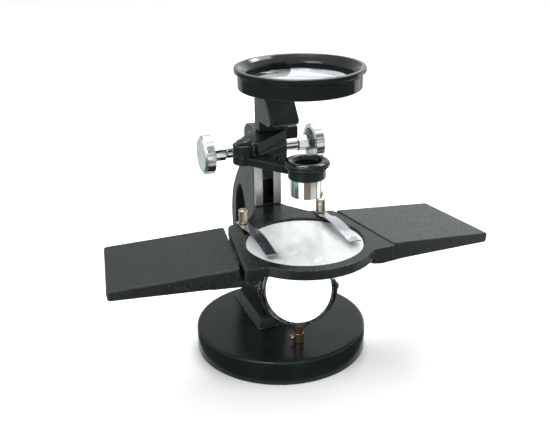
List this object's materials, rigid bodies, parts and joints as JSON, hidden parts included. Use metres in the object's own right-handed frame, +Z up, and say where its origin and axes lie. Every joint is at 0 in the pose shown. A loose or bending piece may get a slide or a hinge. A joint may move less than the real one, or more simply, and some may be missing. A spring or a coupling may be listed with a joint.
{
  "type": "dissecting microscope",
  "caption": "Simple dissecting microscope with a round base, glass stage, drooping hand rests, tilting mirror, swinging eyepiece arm and a large overhead lens.",
  "frame": {"origin": "centre of the underside of the round base", "axes": "+Z up, -Y towards the user, +X to the user's right"},
  "size_m": [0.2595, 0.1711, 0.2082],
  "materials": {
    "base_casting": "gloss black enamel on cast iron",
    "base_bolt_front": "ground steel",
    "base_bolt_back": "ground steel",
    "limb_casting": "gloss black enamel on cast iron",
    "limb_side_screw": "ground steel",
    "slideway_left": "ground steel",
    "slideway_right": "ground steel",
    "pinion_bush_left": "bright chrome plate",
    "pinion_bush_right": "bright chrome plate",
    "stage_plate": "black enamel",
    "stage_screw_left": "ground steel",
    "stage_screw_right": "ground steel",
    "stage_glass": "polished white opal glass",
    "rest_screw_left": "ground steel",
    "rest_screw_right": "ground steel",
    "mirror_socket": "turned brass",
    "mirror_set_screw": "ground steel",
    "hand_rest_left": "fine-textured black paint",
    "hand_rest_right": "fine-textured black paint",
    "carriage_block": "black enamel",
    "rack_screw_lower": "ground steel",
    "rack_screw_upper": "ground steel",
    "magnifier_grub_screw": "ground steel",
    "focus_rack": "blackened steel",
    "pinion_shaft": "ground steel",
    "knob_left": "bright chrome plate",
    "knob_right": "bright chrome plate",
    "knob_collar_left": "bright chrome plate",
    "knob_collar_right": "bright chrome plate",
    "lens_arm": "black enamel",
    "arm_pivot_screw": "blackened steel",
    "eyepiece_cup": "polished black moulding",
    "eyepiece_barrel": "bright chrome plate",
    "eyepiece_lens": "clear polished glass",
    "eyepiece_retainer": "polished black moulding",
    "magnifier_bracket": "black enamel",
    "magnifier_cell": "polished black moulding",
    "magnifier_lens": "clear polished glass",
    "magnifier_retainer": "polished black moulding",
    "magnifier_screw_front": "ground steel",
    "magnifier_screw_back": "ground steel",
    "mirror_fork": "black enamel",
    "mirror_pivot_pin": "turned brass",
    "mirror_frame": "black enamel",
    "mirror_flat": "silvered glass",
    "mirror_concave": "silvered glass",
    "mirror_screw_left": "blackened steel",
    "mirror_screw_right": "blackened steel",
    "clip_strip_left": "ground steel",
    "clip_post_left": "turned brass",
    "clip_strip_right": "ground steel",
    "clip_post_right": "turned brass"
  },
  "bodies": {
    "stand": {"base_casting": "base_casting", "base_bolt_front": "base_bolt_front", "base_bolt_back": "base_bolt_back", "limb_casting": "limb_casting", "limb_side_screw": "limb_side_screw", "slideway_left": "slideway_left", "slideway_right": "slideway_right", "pinion_bush_left": "pinion_bush_left", "pinion_bush_right": "pinion_bush_right", "stage_plate": "stage_plate", "stage_screw_left": "stage_screw_left", "stage_screw_right": "stage_screw_right", "stage_glass": "stage_glass", "rest_screw_left": "rest_screw_left", "rest_screw_right": "rest_screw_right", "mirror_socket": "mirror_socket", "mirror_set_screw": "mirror_set_screw"},
    "rest_left": {"hand_rest_left": "hand_rest_left"},
    "rest_right": {"hand_rest_right": "hand_rest_right"},
    "carriage": {"carriage_block": "carriage_block", "rack_screw_lower": "rack_screw_lower", "rack_screw_upper": "rack_screw_upper", "magnifier_grub_screw": "magnifier_grub_screw", "focus_rack": "focus_rack"},
    "pinion": {"pinion_shaft": "pinion_shaft", "knob_left": "knob_left", "knob_right": "knob_right", "knob_collar_left": "knob_collar_left", "knob_collar_right": "knob_collar_right"},
    "swing_arm": {"lens_arm": "lens_arm", "arm_pivot_screw": "arm_pivot_screw"},
    "eyepiece": {"eyepiece_cup": "eyepiece_cup", "eyepiece_barrel": "eyepiece_barrel", "eyepiece_lens": "eyepiece_lens", "eyepiece_retainer": "eyepiece_retainer"},
    "magnifier": {"magnifier_bracket": "magnifier_bracket", "magnifier_cell": "magnifier_cell", "magnifier_lens": "magnifier_lens", "magnifier_retainer": "magnifier_retainer", "magnifier_screw_front": "magnifier_screw_front", "magnifier_screw_back": "magnifier_screw_back"},
    "fork": {"mirror_fork": "mirror_fork", "mirror_pivot_pin": "mirror_pivot_pin"},
    "mirror": {"mirror_frame": "mirror_frame", "mirror_flat": "mirror_flat", "mirror_concave": "mirror_concave", "mirror_screw_left": "mirror_screw_left", "mirror_screw_right": "mirror_screw_right"},
    "clip_left": {"clip_strip_left": "clip_strip_left", "clip_post_left": "clip_post_left"},
    "clip_right": {"clip_strip_right": "clip_strip_right", "clip_post_right": "clip_post_right"}
  },
  "joints": [
    {"name": "rest_left_slide", "type": "slide", "parent": "stand", "child": "rest_left", "axis": [-0.9888, 0.1495, 0], "range_m": [0, 0.03]},
    {"name": "rest_right_slide", "type": "slide", "parent": "stand", "child": "rest_right", "axis": [0.9888, 0.1495, 0], "range_m": [0, 0.03]},
    {"name": "focus", "type": "slide", "parent": "stand", "child": "carriage", "axis": [0, 0, 1], "range_m": [-0.014, 0.014]},
    {"name": "pinion_turn", "type": "hinge", "parent": "stand", "child": "pinion", "pos_m": [0, 0.035, 0.136], "axis": [-1, 0, 0], "range_deg": [-134, 134]},
    {"name": "arm_swing", "type": "hinge", "parent": "carriage", "child": "swing_arm", "pos_m": [-0.024, 0, 0.1405], "axis": [0, 0, 1], "range_deg": [-90, 15]},
    {"name": "eyepiece_lift", "type": "slide", "parent": "swing_arm", "child": "eyepiece", "axis": [0, 0, 1], "range_m": [0, 0.02]},
    {"name": "magnifier_lift", "type": "slide", "parent": "carriage", "child": "magnifier", "axis": [0, 0, 1], "range_m": [0, 0.012]},
    {"name": "mirror_swivel", "type": "hinge", "parent": "stand", "child": "fork", "pos_m": [0, -0.0345, 0.0575], "axis": [0, 0, 1], "continuous": true},
    {"name": "mirror_tilt", "type": "hinge", "parent": "fork", "child": "mirror", "pos_m": [0, -0.0345, 0.0575], "axis": [0.9848, -0.1736, 0], "continuous": true},
    {"name": "clip_left_swing", "type": "hinge", "parent": "stand", "child": "clip_left", "pos_m": [-0.028, -0.006, 0.0977], "axis": [0, 0, 1], "range_deg": [-35, 20]},
    {"name": "clip_right_swing", "type": "hinge", "parent": "stand", "child": "clip_right", "pos_m": [0.028, -0.006, 0.0977], "axis": [0, 0, 1], "range_deg": [-20, 35]}
  ],
  "couplings": [
    {"joint": "pinion_turn", "follows": "focus", "rad_per_m": 166.67}
  ]
}
